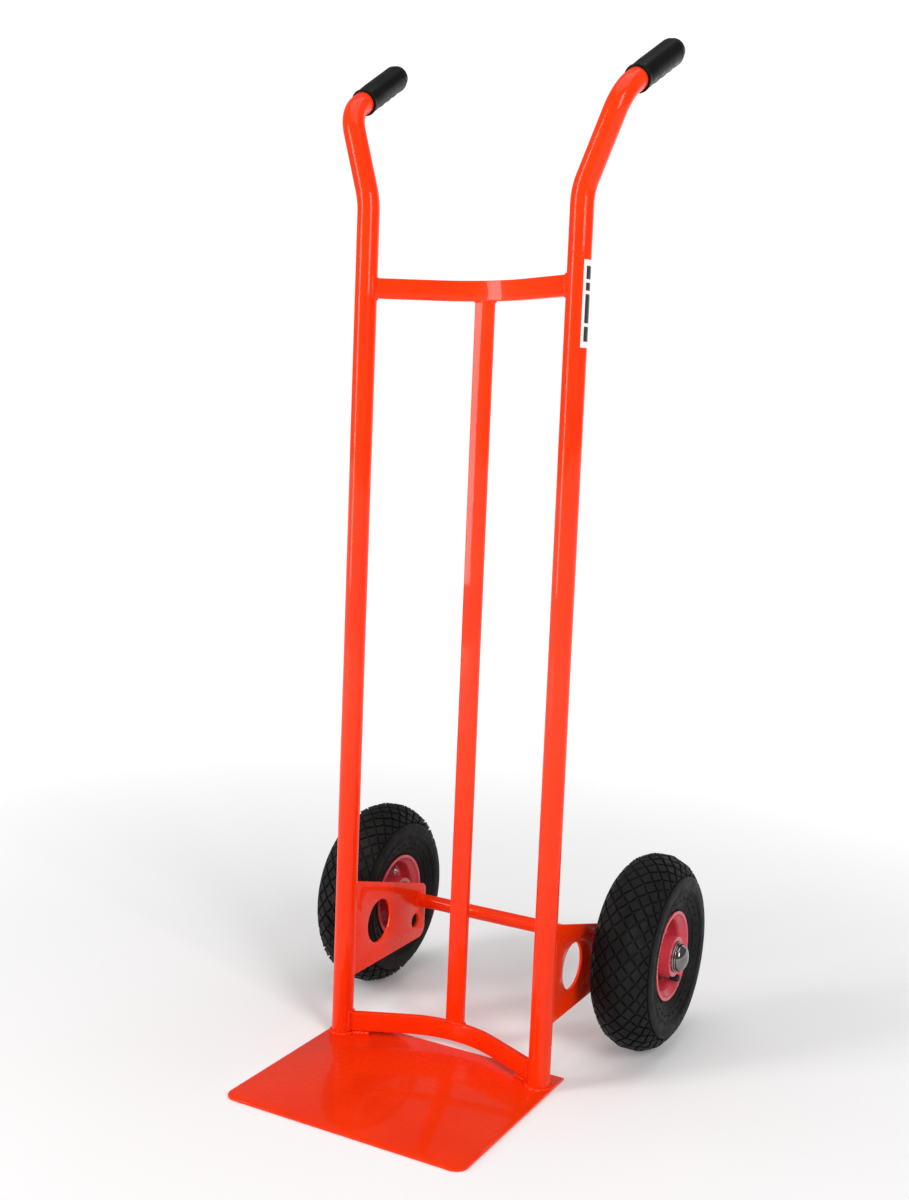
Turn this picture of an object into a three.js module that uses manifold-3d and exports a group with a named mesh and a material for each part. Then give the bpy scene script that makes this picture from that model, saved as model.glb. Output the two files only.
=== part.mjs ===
// A two-wheeled hand truck: a welded steel frame with a toe plate, two flared handles with
// grips, and two pneumatic wheels that turn freely on a fixed axle.
//
// Millimetres, +Z up. The origin is on the floor, at the toe plate's underside, midway between
// the two side tubes. The toe plate points towards -Y and the wheels stand at +Y. "Left" is the
// left of someone who stands behind the truck and pushes it, which is +X.

import * as THREE from 'three';
import { mergeVertices } from 'three/addons/utils/BufferGeometryUtils.js';
import Module from 'manifold-3d';

const wasm = await Module();
wasm.setup();

// ---------------------------------------------------------------- driving dimensions

const gap = 0.3; // between pieces that are welded or rest on each other

const tubeDiameter = 28;
const tubeWall = 2;
const tubeSpacing = 290; // between the axes of the two side tubes
const kinkHeight = 1084; // where the side tubes leave the vertical
const flareOut = 38.4; // how far each tube flares sideways above the kink
const flareBack = 11.5; // how far it leans back over the same stretch
const flareRise = 111; // the height of that stretch
const kinkRadius = 80;
const handleTilt = THREE.MathUtils.degToRad(30); // of the handles above the horizontal
const handleToeOut = THREE.MathUtils.degToRad(4.65);
const handleRadius = 50; // of the bend into the handle
const handleStub = 38; // bare tube from that bend's corner to the mouth of the grip

const gripLength = 113;
const gripWall = 2.7; // round the tube
const gripEndWall = 4;
const gripFit = 0.3;
const gripLipChamfer = 2;
const gripNose = 9; // the length of the rounded end

const plateWidth = 326;
const plateThickness = 3;
const plateFront = 233.4; // from the side tubes' axes to the toe plate's front edge
const plateRear = 37.2; // from the same axes to its rear edge
const plateCornerRadius = 16;

const barHeight = 25;
const barThickness = 8;
const barBow = 47; // how far the middle of a cross bar stands behind the side tubes' axes
const lowerBarBottom = 8;
const upperBarBottom = 964;

const uprightWidth = 25;
const uprightThickness = 8;

const axleDiameter = 19;
const axleBack = 193.4; // from the side tubes' axes to the axle
const axleHoleFit = 0.3;

const bracketThickness = 4;
const bracketBelowAxle = 57; // from the axle's centre to the bracket's bottom edge
const bracketAboveAxle = 75; // from the same height to its top edge, at the tube
const bracketTopSlope = 0.28; // drop of the top edge for each millimetre towards the rear
const bracketBeyondAxle = 17; // from the axle's centre to the bracket's rear edge
const bracketTopRadius = 12;
const bracketBottomRadius = 16;
const lighteningDiameter = 60;
const lighteningBack = 83.5;
const lighteningAboveAxle = 0.7;
const spareHoleDiameter = 20;
const spareHoleForward = 11; // a second axle hole, ahead of the axle and below it
const spareHoleBelow = 28;

const wheelDiameter = 260;
const tyreWidth = 84;
const axleSpacerLength = 22; // the sleeve that keeps a wheel off its bracket
const casingThickness = 7;
const beadInnerWidth = 34; // between the two beads
const beadOuterWidth = 49;
const beadFit = 0.5; // of the bead round the rim

const rimWidth = 66;
const rimLipHeight = 9; // of the rim's edge above the bead
const rimWall = 3.2;
const webThickness = 4;
const webSpan = 20; // of the flat web, from the hub out to the barrel
const webFillet = 3; // where the web meets the hub and the barrel
const lipWidth = 5; // the flat at the rim's edge
const lipThickness = 2.6;
const lipDepth = 8; // from the rim's edge to where its barrel starts
const hubLength = 75;
const hubWall = 6;

const bearingRing = 10.5; // from the axle's surface to the bearing's outside
const bearingWidth = 12;
const runningFit = 0.3; // round the axle
const bearingFit = 0.3; // of a bearing in the hub
const spacerWall = 3; // of the tube between a wheel's two bearings

const innerTubeWall = 2;
const innerTubeClearance = 3; // to the tyre's casing

const boltDiameter = 6;
const boltHeadAcrossFlats = 10;
const boltHeadHeight = 4;
const boltTail = 2; // thread showing past the nut
const nutHeight = 5;
const boltsPerWheel = 4;
const boltFromHub = 10.7; // from the hub's barrel to a bolt's centre

const valveDiameter = 7;
const valveAngle = THREE.MathUtils.degToRad(-63); // round the axle, from +Y towards +Z
const valveInsideBead = 9.6; // from the bead's radius in to the outward leg
const valveOffset = 12.6; // of the inward leg, from the wheel's middle plane
const valveBend = 4;
const valveReach = 38;
const valveCapDiameter = 9.6;
const valveCapFit = 0.4;
const valveCapLength = 13;

const washerInset = 0.5; // of the washer's edge inside the bearing's
const washerThickness = 2;
const capInset = 0.8; // of the cap's edge inside the bearing's
const capSkirt = 4;
const capDome = 9;
const capWall = 1.5;
const capCollarLength = 7;
const axleSpacerWall = 3.2;

const labelHeight = 100;
const labelBottom = 905;
const labelThickness = 0.3;
const labelArc = THREE.MathUtils.degToRad(76);
const labelFacing = THREE.MathUtils.degToRad(-3.25); // the way its middle faces, from +X

// How finely round pieces are faceted.
const tubeSides = 16;
const tyreSegments = 32;
const rimSegments = 24;
const hubSegments = 16;
const smallSegments = 8;

// ---------------------------------------------------------------- derived sizes

const tubeRadius = tubeDiameter / 2;
const axleRadius = axleDiameter / 2;
const axleHeight = wheelDiameter / 2;
const halfSpacing = tubeSpacing / 2;
const halfHub = hubLength / 2;
const washerStart = halfHub + gap; // from a wheel's middle plane
const capStart = washerStart + washerThickness + gap;
const halfTrack = halfSpacing + bracketThickness / 2 + gap + axleSpacerLength + capStart;
const capBite = 3; // of the axle's end into the cap's dome
const axleEnd = halfTrack + capStart + capSkirt + capBite;
const barRadius = halfSpacing; // of a cross bar's bowed middle, at the bar's centre line
const bearingRadius = axleRadius + bearingRing;
const hubBore = bearingRadius + bearingFit;
const hubOuter = hubBore + hubWall;
const boltCircleRadius = hubOuter + boltFromHub;
const beadRadius = hubOuter + webSpan + rimWall + beadFit;
const rimLipRadius = beadRadius + rimLipHeight;
const valveRadius = beadRadius - valveInsideBead; // of the valve's outward leg
const barTop = lowerBarBottom + barHeight;
const bearingBore = axleRadius + runningFit;

// ---------------------------------------------------------------- colours and finishes

const finishes = {
  paint: { color: 0xff3c14, roughness: 0.22, metalness: 0.0 },
  rim: { color: 0xc81432, roughness: 0.35, metalness: 0.0 },
  tyre: { color: 0x1c1c1d, roughness: 0.75, metalness: 0.0 },
  grip: { color: 0x141414, roughness: 0.45, metalness: 0.0 },
  rubber: { color: 0x202020, roughness: 0.7, metalness: 0.0 },
  chrome: { color: 0xd8d8da, roughness: 0.12, metalness: 1.0 },
  zinc: { color: 0xb9bcc0, roughness: 0.35, metalness: 1.0 },
  steel: { color: 0x8b8e92, roughness: 0.3, metalness: 1.0 },
  label: { color: 0xf2f2ee, roughness: 0.5, metalness: 0.0 },
};

const truck = new THREE.Group();

function addPiece(name, geometry, finish, parent = truck) {
  const mesh = new THREE.Mesh(geometry, new THREE.MeshStandardMaterial(finishes[finish]));
  mesh.name = name;
  parent.add(mesh);
  return mesh;
}

// ---------------------------------------------------------------- joining and cutting

function toSolid(geometry) {
  const bare = geometry.clone();
  bare.deleteAttribute('normal');
  bare.deleteAttribute('uv');
  const merged = mergeVertices(bare, 1e-4);
  return new wasm.Manifold(
    new wasm.Mesh({
      numProp: 3,
      vertProperties: new Float32Array(merged.attributes.position.array),
      triVerts: new Uint32Array(merged.index.array),
    }),
  );
}

function toGeometry(solid) {
  const mesh = solid.getMesh();
  const geometry = new THREE.BufferGeometry();
  geometry.setAttribute('position', new THREE.BufferAttribute(mesh.vertProperties, 3));
  geometry.setIndex(new THREE.BufferAttribute(mesh.triVerts, 1));
  geometry.computeVertexNormals();
  return geometry;
}

function cut(geometry, ...tools) {
  return toGeometry(tools.reduce((solid, tool) => solid.subtract(toSolid(tool)), toSolid(geometry)));
}

function join(...geometries) {
  return toGeometry(geometries.map(toSolid).reduce((whole, solid) => whole.add(solid)));
}

// ---------------------------------------------------------------- shapes

// A path of straight stretches joined by round bends. It has a station only where the
// direction changes, so a long straight stretch costs one step.
class BentPath extends THREE.Curve {
  constructor(corners, radii, stepAngle = Math.PI / 20) {
    super();
    this.stations = [];
    const last = corners.length - 1;
    const heading = (i) => corners[i + 1].clone().sub(corners[i]).normalize();
    this.stations.push({ point: corners[0], tangent: heading(0) });
    for (let i = 1; i < last; i += 1) {
      this.addBend(corners[i], heading(i - 1), heading(i), radii[i - 1], stepAngle);
    }
    this.stations.push({ point: corners[last], tangent: heading(last - 1) });
  }

  addBend(corner, before, after, radius, stepAngle) {
    const turn = before.angleTo(after);
    const reach = radius * Math.tan(turn / 2);
    const axis = before.clone().cross(after).normalize();
    const toCentre = axis.clone().cross(before).multiplyScalar(radius);
    const start = corner.clone().addScaledVector(before, -reach);
    const centre = start.clone().add(toCentre);
    const steps = Math.max(2, Math.ceil(turn / stepAngle));
    for (let i = 0; i <= steps; i += 1) {
      const angle = (turn * i) / steps;
      const spoke = toCentre.clone().negate().applyAxisAngle(axis, angle);
      const tangent = before.clone().applyAxisAngle(axis, angle);
      this.stations.push({ point: centre.clone().add(spoke), tangent });
    }
  }

  station(u) {
    return this.stations[Math.round(u * (this.stations.length - 1))];
  }

  getPointAt(u, target = new THREE.Vector3()) {
    return target.copy(this.station(u).point);
  }

  getTangentAt(u, target = new THREE.Vector3()) {
    return target.copy(this.station(u).tangent);
  }
}

function sweep(path, radius, innerRadius = 0, sides = tubeSides) {
  const section = new THREE.Shape().absarc(0, 0, radius, 0, 2 * Math.PI);
  if (innerRadius > 0) section.holes.push(new THREE.Path().absarc(0, 0, innerRadius, 0, 2 * Math.PI));
  return new THREE.ExtrudeGeometry(section, {
    steps: path.stations.length - 1,
    curveSegments: sides / 2,
    extrudePath: path,
  });
}

// Revolves a closed outline of [radius, distance along the axis] pairs about the X axis.
function revolve(outline, segments) {
  const area = THREE.ShapeUtils.area(outline.map(([r, a]) => new THREE.Vector2(r, a)));
  const ordered = area < 0 ? [...outline].reverse() : outline;
  const points = ordered.map(([r, a]) => new THREE.Vector2(r, a));
  const onAxis = outline.filter(([r]) => r === 0).length === 2;
  if (onAxis) {
    while (!(points[0].x === 0 && points[points.length - 1].x === 0)) points.push(points.shift());
  } else {
    points.push(points[0].clone());
  }
  return new THREE.LatheGeometry(points, segments).rotateZ(-Math.PI / 2);
}

function ring(innerRadius, outerRadius, start, end, segments = hubSegments) {
  return revolve([[innerRadius, start], [outerRadius, start], [outerRadius, end], [innerRadius, end]], segments);
}

function rod(radius, start, end, segments = hubSegments) {
  return new THREE.CylinderGeometry(radius, radius, end - start, segments)
    .translate(0, (start + end) / 2, 0)
    .rotateZ(-Math.PI / 2);
}

// An outline through corners of [x, y, radius], each rounded by its own radius.
function roundedShape(corners) {
  const shape = new THREE.Shape();
  corners.forEach(([x, y, radius], i) => {
    const corner = new THREE.Vector2(x, y);
    const before = new THREE.Vector2(...corners.at(i - 1).slice(0, 2)).sub(corner).normalize();
    const after = new THREE.Vector2(...corners[(i + 1) % corners.length].slice(0, 2)).sub(corner).normalize();
    if (radius === 0) {
      if (i === 0) shape.moveTo(x, y);
      else shape.lineTo(x, y);
      return;
    }
    const half = Math.acos(before.dot(after)) / 2;
    const centre = before.clone().add(after).normalize().multiplyScalar(radius / Math.sin(half)).add(corner);
    const from = before.clone().multiplyScalar(radius / Math.tan(half)).add(corner).sub(centre);
    const to = after.clone().multiplyScalar(radius / Math.tan(half)).add(corner).sub(centre);
    const clockwise = before.cross(after) > 0;
    if (i > 0) shape.lineTo(centre.x + from.x, centre.y + from.y);
    shape.absarc(centre.x, centre.y, radius, from.angle(), to.angle(), clockwise);
  });
  return shape;
}

function extrude(shape, depth, curveSegments = 6) {
  return new THREE.ExtrudeGeometry(shape, { depth, bevelEnabled: false, curveSegments });
}

// Turns a plate drawn in X, Y and extruded along Z into one drawn in Y, Z with its thickness
// centred on X.
function standOnEdge(geometry, thickness) {
  const turn = new THREE.Matrix4().makeBasis(
    new THREE.Vector3(0, 1, 0),
    new THREE.Vector3(0, 0, 1),
    new THREE.Vector3(1, 0, 0),
  );
  return geometry.applyMatrix4(turn).translate(-thickness / 2, 0, 0);
}

// ---------------------------------------------------------------- side tubes and grips

const handleHeading = new THREE.Vector3(
  Math.cos(handleTilt) * Math.sin(handleToeOut),
  Math.cos(handleTilt) * Math.cos(handleToeOut),
  Math.sin(handleTilt),
);

function mirrored(vector, side) {
  return new THREE.Vector3(side * vector.x, vector.y, vector.z);
}

const handleCorner = new THREE.Vector3(halfSpacing + flareOut, flareBack, kinkHeight + flareRise);
const gripMouth = handleCorner.clone().addScaledVector(handleHeading, handleStub);

function sideTube(side) {
  const bareEnd = handleStub + gripLength - gripEndWall - gap;
  const corners = [
    new THREE.Vector3(halfSpacing, 0, plateThickness + gap),
    new THREE.Vector3(halfSpacing, 0, kinkHeight),
    handleCorner,
    handleCorner.clone().addScaledVector(handleHeading, bareEnd),
  ].map((corner) => mirrored(corner, side));
  return sweep(new BentPath(corners, [kinkRadius, handleRadius]), tubeRadius, tubeRadius - tubeWall);
}

function grip(side) {
  const bore = tubeRadius + gripFit;
  const radius = bore + gripWall;
  const geometry = revolve(
    [
      [bore, 0],
      [radius - gripLipChamfer, 0],
      [radius, gripLipChamfer],
      [radius, gripLength - gripNose],
      [radius - 0.4 * gripNose, gripLength - 0.3 * gripNose],
      [radius - 1.1 * gripNose, gripLength],
      [0, gripLength],
      [0, gripLength - gripEndWall],
      [bore, gripLength - gripEndWall],
    ],
    tubeSides,
  );
  const along = mirrored(handleHeading, side);
  geometry.applyQuaternion(new THREE.Quaternion().setFromUnitVectors(new THREE.Vector3(1, 0, 0), along));
  const mouth = mirrored(gripMouth, side);
  return geometry.translate(mouth.x, mouth.y, mouth.z);
}

// ---------------------------------------------------------------- toe plate and cross members

function toePlate() {
  const half = plateWidth / 2;
  const outline = roundedShape([
    [half, plateRear, 0],
    [-half, plateRear, 0],
    [-half, -plateFront, plateCornerRadius],
    [half, -plateFront, plateCornerRadius],
  ]);
  return extrude(outline, plateThickness);
}

// A cross bar is bowed backwards: a round middle, and straight legs that reach the side tubes.
function crossBar(bottom) {
  const reach = halfSpacing - tubeRadius;
  const rise = barRadius - barBow;
  const legAngle = Math.atan2(reach, rise) - Math.acos(barRadius / Math.hypot(rise, reach));
  const legLength = (halfSpacing - tubeRadius / 3 - barRadius * Math.sin(legAngle)) / Math.cos(legAngle);
  const arcSteps = 12;
  const edge = (offset) => {
    const points = [];
    for (let i = 0; i <= arcSteps; i += 1) {
      const angle = legAngle * ((2 * i) / arcSteps - 1);
      const radius = barRadius + offset;
      points.push(new THREE.Vector2(radius * Math.sin(angle), -rise + radius * Math.cos(angle)));
    }
    const [first, last] = [points[0], points[arcSteps]];
    const run = new THREE.Vector2(Math.cos(legAngle), -Math.sin(legAngle)).multiplyScalar(legLength);
    points.unshift(new THREE.Vector2(first.x - run.x, first.y + run.y));
    points.push(last.clone().add(run));
    return points;
  };
  const outline = [...edge(-barThickness / 2), ...edge(barThickness / 2).reverse()];
  const bar = extrude(new THREE.Shape(outline), barHeight).translate(0, 0, bottom);
  const seat = new THREE.CylinderGeometry(tubeRadius + gap, tubeRadius + gap, 3 * barHeight, 2 * tubeSides)
    .rotateX(Math.PI / 2)
    .translate(0, 0, bottom);
  return cut(bar, seat.clone().translate(halfSpacing, 0, 0), seat.translate(-halfSpacing, 0, 0));
}

function centreUpright() {
  const height = upperBarBottom - barTop - 2 * gap;
  return new THREE.BoxGeometry(uprightWidth, uprightThickness, height)
    .translate(0, barBow, barTop + gap + height / 2);
}

// ---------------------------------------------------------------- axle and its brackets

function wheelBracket(side) {
  const front = tubeRadius + gap;
  const rear = axleBack + bracketBeyondAxle;
  const bottom = axleHeight - bracketBelowAxle;
  const topAt = (back) => axleHeight + bracketAboveAxle - bracketTopSlope * (back - front);
  const outline = roundedShape([
    [front, bottom, 0],
    [rear, bottom, bracketBottomRadius],
    [rear, topAt(rear), bracketTopRadius],
    [front, topAt(front), 0],
  ]);
  const hole = (back, height, radius, sides) =>
    rod(radius, -bracketThickness, bracketThickness, sides).translate(0, back, height);
  const plate = cut(
    standOnEdge(extrude(outline, bracketThickness), bracketThickness),
    hole(axleBack, axleHeight, axleRadius + axleHoleFit, hubSegments),
    hole(axleBack - spareHoleForward, axleHeight - spareHoleBelow, spareHoleDiameter / 2, tubeSides),
    hole(lighteningBack, axleHeight + lighteningAboveAxle, lighteningDiameter / 2, hubSegments),
  );
  return plate.translate(side * halfSpacing, 0, 0);
}

// ---------------------------------------------------------------- wheels

// Each half of the rim is a dish with its own hub barrel. The halves meet at the middle plane.
function rimOutline() {
  const seat = beadRadius - beadFit;
  const inside = seat - rimWall;
  const lip = rimWidth / 2;
  const web = webThickness + gap;
  return [
    [hubBore, gap],
    [hubBore, halfHub],
    [hubOuter, halfHub],
    [hubOuter, web + webFillet],
    [hubOuter + webFillet, web],
    [inside - webFillet, web],
    [inside, web + webFillet],
    [inside, lip - 0.75 * lipDepth],
    [rimLipRadius - lipWidth, lip],
    [rimLipRadius, lip],
    [rimLipRadius, lip - lipThickness],
    [seat, lip - lipDepth],
    [seat, gap],
  ];
}

function boltPlaces() {
  const places = [];
  for (let i = 0; i < boltsPerWheel; i += 1) {
    const angle = ((i + 0.5) * 2 * Math.PI) / boltsPerWheel;
    places.push([boltCircleRadius * Math.cos(angle), boltCircleRadius * Math.sin(angle)]);
  }
  return places;
}

function rimHalf(direction, withValveHole) {
  const outline = rimOutline().map(([r, a]) => [r, direction * a]);
  const deep = 2 * webThickness;
  const holes = boltPlaces().map(([y, z]) =>
    rod(boltDiameter / 2 + gap, -deep, deep, smallSegments).translate(0, y, z));
  if (withValveHole) holes.push(valveHole(valveDiameter / 2 + gap));
  return cut(revolve(outline, rimSegments), ...holes);
}

// A radial rod at the valve's place, from inside the rim's barrel to inside the inner tube.
function valveHole(radius) {
  const through = 15; // past the bead's radius, both ways
  const from = beadRadius - through;
  const to = beadRadius + through;
  return new THREE.CylinderGeometry(radius, radius, to - from, smallSegments)
    .translate(0, (from + to) / 2, 0)
    .rotateX(valveAngle)
    .translate(valveOffset, 0, 0);
}

function tyreCasing() {
  const crown = wheelDiameter / 2;
  const half = tyreWidth / 2;
  const inner = beadInnerWidth / 2;
  const outer = beadOuterWidth / 2;
  const lip = rimWidth / 2;
  const wall = casingThickness;
  const widest = (crown + rimLipRadius) / 2;
  const shoulder = (angle) => [widest + (crown - widest) * Math.sin(angle), half * Math.cos(angle)];
  const outside = [
    shoulder(Math.PI / 3),
    shoulder(Math.PI / 6),
    [widest, half],
    [rimLipRadius + lipThickness, lip - lipThickness],
    [rimLipRadius - lipWidth, lip - lipThickness - 0.7 * lipWidth],
    [beadRadius, outer],
    [beadRadius, inner],
  ];
  const inside = [
    [rimLipRadius, inner + 3],
    [widest, half - wall],
    [crown - 10 - wall, 0.6 * half],
  ];
  const sideways = [...outside, ...inside];
  const mirror = [...sideways].reverse().map(([r, a]) => [r, -a]);
  const outline = [[crown, 0], ...sideways, [crown - wall, 0], ...mirror];
  return revolve(outline, tyreSegments);
}

function innerTube() {
  const high = wheelDiameter / 2 - casingThickness - innerTubeClearance;
  const low = beadRadius + 2 * innerTubeClearance;
  const centre = (high + low) / 2;
  const across = tyreWidth / 2 - casingThickness - 2 * innerTubeClearance;
  const oval = (shrink) => {
    const sides = 8;
    return Array.from({ length: sides }, (_, i) => {
      const angle = (2 * Math.PI * i) / sides;
      return [
        centre + ((high - low) / 2 - shrink) * Math.cos(angle),
        (across - shrink) * Math.sin(angle),
      ];
    });
  };
  const skin = revolve(oval(0), rimSegments);
  return cut(skin, revolve(oval(innerTubeWall), rimSegments), valveHole(valveDiameter / 2 + gap));
}

function valveStem() {
  const radial = (radius, offset) =>
    new THREE.Vector3(offset, radius * Math.cos(valveAngle), radius * Math.sin(valveAngle));
  const corners = [
    radial(beadRadius + innerTubeClearance + 5, valveOffset),
    radial(valveRadius, valveOffset),
    radial(valveRadius, valveReach - valveCapLength / 2),
  ];
  return sweep(new BentPath(corners, [valveBend], Math.PI / 8), valveDiameter / 2, 0, smallSegments);
}

function valveCap() {
  const radius = valveCapDiameter / 2;
  const bore = valveDiameter / 2 + valveCapFit;
  const start = valveReach - valveCapLength;
  const chamfer = 1.5;
  const cap = revolve(
    [
      [bore, start],
      [radius, start],
      [radius, valveReach - chamfer],
      [radius - chamfer, valveReach],
      [0, valveReach],
      [0, valveReach - valveCapLength / 2 + gap],
      [bore, valveReach - valveCapLength / 2 + gap],
    ],
    smallSegments,
  );
  return cap.translate(0, valveRadius * Math.cos(valveAngle), valveRadius * Math.sin(valveAngle));
}

function hexagon(acrossFlats, start, end) {
  return rod(acrossFlats / Math.sqrt(3), start, end, 6);
}

function rimBolt() {
  const seat = webThickness + 2 * gap;
  const tail = -(seat + nutHeight + gap + boltTail);
  return join(
    rod(boltDiameter / 2, tail, seat + boltHeadHeight / 2, smallSegments),
    hexagon(boltHeadAcrossFlats, seat, seat + boltHeadHeight),
  );
}

function rimNut() {
  const seat = -(webThickness + 2 * gap);
  const bore = rod(boltDiameter / 2 + gap, seat - nutHeight - 1, seat + 1, smallSegments);
  return cut(hexagon(boltHeadAcrossFlats, seat - nutHeight, seat), bore);
}

function axleCap() {
  const radius = bearingRadius - capInset;
  const shoulder = capStart + capSkirt;
  const domeSteps = 4;
  const dome = (shrink) =>
    Array.from({ length: domeSteps }, (_, i) => {
      const angle = ((Math.PI / 2) * i) / domeSteps;
      return [(radius - shrink) * Math.cos(angle), shoulder + (capDome - shrink) * Math.sin(angle)];
    });
  const collar = axleRadius + gap;
  const top = shoulder + capDome;
  const collarTop = top - 3 * capWall;
  return revolve(
    [
      [radius, capStart],
      ...dome(0),
      [0, top],
      [0, top - 2 * capWall],
      [collar, collarTop],
      [collar, collarTop - capCollarLength],
      [collar + capWall, collarTop - capCollarLength],
      ...dome(capWall).reverse().slice(1),
      [radius - capWall, capStart],
    ],
    hubSegments,
  );
}

// One wheel, drawn about the X axis with its outboard side towards +X.
function addWheel(name, side) {
  const wheel = new THREE.Group();
  wheel.position.set(side * halfTrack, axleBack, axleHeight);
  wheel.rotation.z = side > 0 ? 0 : Math.PI;
  truck.add(wheel);

  addPiece(`${name}_tyre`, tyreCasing(), 'tyre', wheel);
  addPiece(`${name}_inner_tube`, innerTube(), 'rubber', wheel);
  addPiece(`${name}_rim_outer_half`, rimHalf(1, true), 'rim', wheel);
  addPiece(`${name}_rim_inner_half`, rimHalf(-1, false), 'rim', wheel);
  addPiece(`${name}_valve_stem`, valveStem(), 'zinc', wheel);
  addPiece(`${name}_valve_cap`, valveCap(), 'rubber', wheel);

  const bearingStart = halfHub - bearingWidth;
  addPiece(`${name}_bearing_outer`, ring(bearingBore, bearingRadius, bearingStart, halfHub), 'steel', wheel);
  addPiece(`${name}_bearing_inner`, ring(bearingBore, bearingRadius, -halfHub, -bearingStart), 'steel', wheel);
  const reach = bearingStart - gap;
  addPiece(`${name}_bearing_spacer`, ring(bearingBore, bearingBore + spacerWall, -reach, reach), 'steel', wheel);

  boltPlaces().forEach(([y, z], i) => {
    addPiece(`${name}_rim_bolt_${i + 1}`, rimBolt().translate(0, y, z), 'zinc', wheel);
    addPiece(`${name}_rim_nut_${i + 1}`, rimNut().translate(0, y, z), 'zinc', wheel);
  });

  const washer = (start) => ring(bearingBore, bearingRadius - washerInset, start, start + washerThickness);
  addPiece(`${name}_outer_washer`, washer(washerStart), 'zinc', wheel);
  addPiece(`${name}_inner_washer`, washer(-washerStart - washerThickness), 'zinc', wheel);
  addPiece(`${name}_axle_cap`, axleCap(), 'chrome', wheel);

  const sleeve = ring(bearingBore, bearingBore + axleSpacerWall, -capStart - axleSpacerLength, -capStart);
  addPiece(`${name}_axle_spacer`, sleeve, 'zinc', wheel);
}

// ---------------------------------------------------------------- label

function label() {
  const inner = tubeRadius + gap;
  const from = labelFacing - labelArc / 2;
  const to = labelFacing + labelArc / 2;
  const outline = new THREE.Shape();
  outline.absarc(0, 0, inner + labelThickness, from, to, false);
  outline.absarc(0, 0, inner, to, from, true);
  return extrude(outline, labelHeight, 5).translate(halfSpacing, 0, labelBottom);
}

// ---------------------------------------------------------------- the truck

addPiece('left_side_tube', sideTube(1), 'paint');
addPiece('right_side_tube', sideTube(-1), 'paint');
addPiece('left_grip', grip(1), 'grip');
addPiece('right_grip', grip(-1), 'grip');
addPiece('upper_cross_bar', crossBar(upperBarBottom), 'paint');
addPiece('lower_cross_bar', crossBar(lowerBarBottom), 'paint');
addPiece('centre_upright', centreUpright(), 'paint');
addPiece('toe_plate', toePlate(), 'paint');
addPiece('left_wheel_bracket', wheelBracket(1), 'paint');
addPiece('right_wheel_bracket', wheelBracket(-1), 'paint');
addPiece('axle', rod(axleRadius, -axleEnd, axleEnd).translate(0, axleBack, axleHeight), 'paint');
addPiece('label', label(), 'label');
addWheel('left', 1);
addWheel('right', -1);

export default truck;
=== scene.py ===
# %% [markdown]
# # A two-wheeled hand truck, drawn and finished in Blender
#
# The truck is a welded steel frame under bright vermilion paint. It has a toe plate to slide
# under a load, two flared handles with soft grips, and two air-filled wheels on a fixed axle.
# The working design is already there as a frame of plain solids: every one says where a part
# sits and which body it moves with. This lesson builds the visible pieces around them, one at a
# time, the way a maker would, and hides each plain solid that a finished piece stands for.

# %% Load the frame
from math import acos, atan2, cos, hypot, pi, radians, sin, tan

import bmesh
import bpy
from mathutils import Matrix, Vector


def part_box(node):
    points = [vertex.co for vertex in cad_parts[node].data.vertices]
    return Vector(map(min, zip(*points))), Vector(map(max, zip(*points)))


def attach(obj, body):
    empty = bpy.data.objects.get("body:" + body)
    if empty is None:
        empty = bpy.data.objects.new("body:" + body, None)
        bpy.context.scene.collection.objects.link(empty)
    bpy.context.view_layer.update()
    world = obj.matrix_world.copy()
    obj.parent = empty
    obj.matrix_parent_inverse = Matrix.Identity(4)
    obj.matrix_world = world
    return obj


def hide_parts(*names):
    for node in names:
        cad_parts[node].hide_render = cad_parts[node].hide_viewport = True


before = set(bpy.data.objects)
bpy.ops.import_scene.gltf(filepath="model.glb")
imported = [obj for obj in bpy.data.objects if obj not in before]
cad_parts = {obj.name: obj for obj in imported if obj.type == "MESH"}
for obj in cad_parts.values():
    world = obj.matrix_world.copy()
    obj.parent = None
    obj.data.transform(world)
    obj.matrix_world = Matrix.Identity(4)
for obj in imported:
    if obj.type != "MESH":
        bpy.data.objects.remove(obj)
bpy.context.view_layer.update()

# %% [markdown]
# ## The sizes that everything shares
#
# Nothing is placed by eye. The plain solids give the places, so a piece that is drawn round its
# solid can't drift. The few sizes that a box can't give, such as the bends of the side tubes,
# are written here once.

# %% Places taken from the frame
MM = 0.001


def node_box(name):
    low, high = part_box(name)
    return Vector(low), Vector(high)


plate_low, plate_high = node_box("toe_plate")
tyre_low, tyre_high = node_box("left_tyre")
axle_low, axle_high = node_box("axle")
WHEEL = (tyre_low + tyre_high) / 2
TUBE_RADIUS = 14 * MM
TUBE_WALL = 2 * MM
TUBE_X = 145 * MM
TUBE_FOOT = plate_high.z + 0.3 * MM
print("left wheel centre:", [round(c, 4) for c in WHEEL], "axle length:", round(axle_high.x - axle_low.x, 4))

# %% [markdown]
# ## The camera
#
# The truck is seen from the front and a little to its left, from a standing person's distance.
# A camera looks along its own -Z, so its matrix is built from three directions: what is right
# of the view, what is up in it, and what lies behind it. The picture leans by a small roll,
# which the right and up directions share.

# %% Set up the camera
VIEW_AZIMUTH = radians(28.48)
VIEW_ELEVATION = radians(6.79)
VIEW_ROLL = radians(2.32)
LENS = 42.32
CAMERA_PLACE = (0.8263, -1.5248, 0.8025)
level = Vector((cos(VIEW_AZIMUTH), sin(VIEW_AZIMUTH), 0))
backward = Vector((sin(VIEW_AZIMUTH), -cos(VIEW_AZIMUTH), 0)) * cos(VIEW_ELEVATION)
backward.z = sin(VIEW_ELEVATION)
upright = level.cross(-backward)
right = level * cos(VIEW_ROLL) + upright * sin(VIEW_ROLL)
up = upright * cos(VIEW_ROLL) - level * sin(VIEW_ROLL)

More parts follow.
